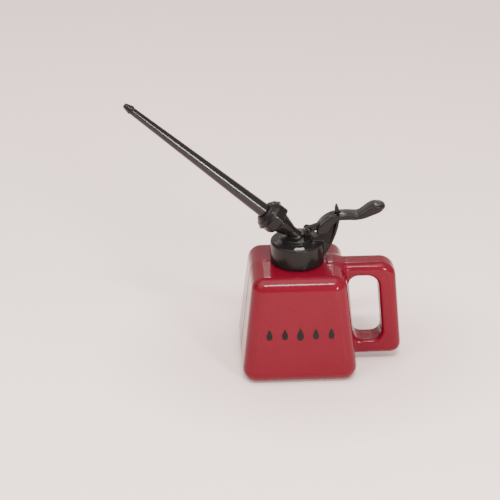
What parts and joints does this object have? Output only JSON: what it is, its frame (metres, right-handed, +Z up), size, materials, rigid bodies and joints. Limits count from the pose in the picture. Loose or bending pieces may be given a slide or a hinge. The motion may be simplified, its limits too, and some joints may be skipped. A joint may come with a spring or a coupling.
{
  "type": "pump oil can",
  "caption": "Hand pump oiler: square tapered bottle with a loop handle, screw cap pump with a thumb lever, and a long angled spout.",
  "frame": {"origin": "middle of the bottle's base, on the surface it stands on", "axes": "+Z up, -X towards the spout, +X towards the handle, -Y out of the broad front face"},
  "size_m": [0.2201, 0.0918, 0.2296],
  "materials": {
    "bottle_red": "glossy blow-moulded polyethylene",
    "pump_black": "glossy black moulding",
    "spout_black": "satin black moulding",
    "seal_rubber": "smooth nitrile rubber",
    "natural_plastic": "natural uncoloured moulding",
    "steel": "ground steel",
    "spring_steel": "drawn spring wire",
    "fibre": "vulcanised fibre"
  },
  "bodies": {
    "can": {"can_body": "bottle_red"},
    "gasket": {"cap_gasket": "seal_rubber"},
    "pump": {"pump_cap": "pump_black", "rod_seal": "seal_rubber", "rod_gland": "pump_black", "pump_barrel": "natural_plastic", "foot_valve": "natural_plastic", "dip_tube": "natural_plastic", "inlet_strainer": "natural_plastic", "lever_pin": "steel", "outlet_bush": "natural_plastic", "outlet_spring": "spring_steel", "spout_washer": "fibre", "spout_tube": "spout_black", "spout_nozzle": "spout_black"},
    "lever": {"thumb_lever": "pump_black"},
    "rod": {"rod_head": "pump_black", "link_pin": "steel", "piston_rod": "steel", "piston": "natural_plastic", "piston_cup": "seal_rubber", "return_spring": "spring_steel"},
    "nut": {"spout_nut": "pump_black"},
    "inlet_valve": {"inlet_ball": "steel"},
    "outlet_valve": {"outlet_ball": "steel"}
  },
  "joints": [
    {"name": "cap_unscrew", "type": "hinge", "parent": "can", "child": "gasket", "pos_m": [0, 0, 0.1], "axis": [0, 0, 1], "range_deg": [0, 540]},
    {"name": "pump_lift", "type": "slide", "parent": "gasket", "child": "pump", "axis": [0, 0, 1], "range_m": [0, 0.11]},
    {"name": "lever_press", "type": "hinge", "parent": "pump", "child": "lever", "pos_m": [0.0283, 0, 0.1252], "axis": [0, 1, 0], "range_deg": [0, 18], "stiffness_Nm_per_rad": 0.3, "springref_deg": -20.05},
    {"name": "rod_lift", "type": "slide", "parent": "pump", "child": "rod", "axis": [0, 0, 1], "range_m": [0, 0.00668], "deforming": ["return_spring"]},
    {"name": "nut_turn", "type": "hinge", "parent": "pump", "child": "nut", "pos_m": [0.001, 0, 0.1108], "axis": [-0.7547, 0, 0.6561], "continuous": true},
    {"name": "inlet_ball_lift", "type": "slide", "parent": "pump", "child": "inlet_valve", "axis": [0, 0, 1], "range_m": [0, 0.0025]},
    {"name": "outlet_ball_lift", "type": "slide", "parent": "pump", "child": "outlet_valve", "axis": [-0.7547, 0, 0.6561], "range_m": [0, 0.001], "stiffness_N_per_m": 30, "springref_m": -0.002, "deforming": ["outlet_spring"]}
  ],
  "couplings": [
    {"joint": "lever_press", "follows": "rod_lift", "rad_per_m": 47}
  ]
}
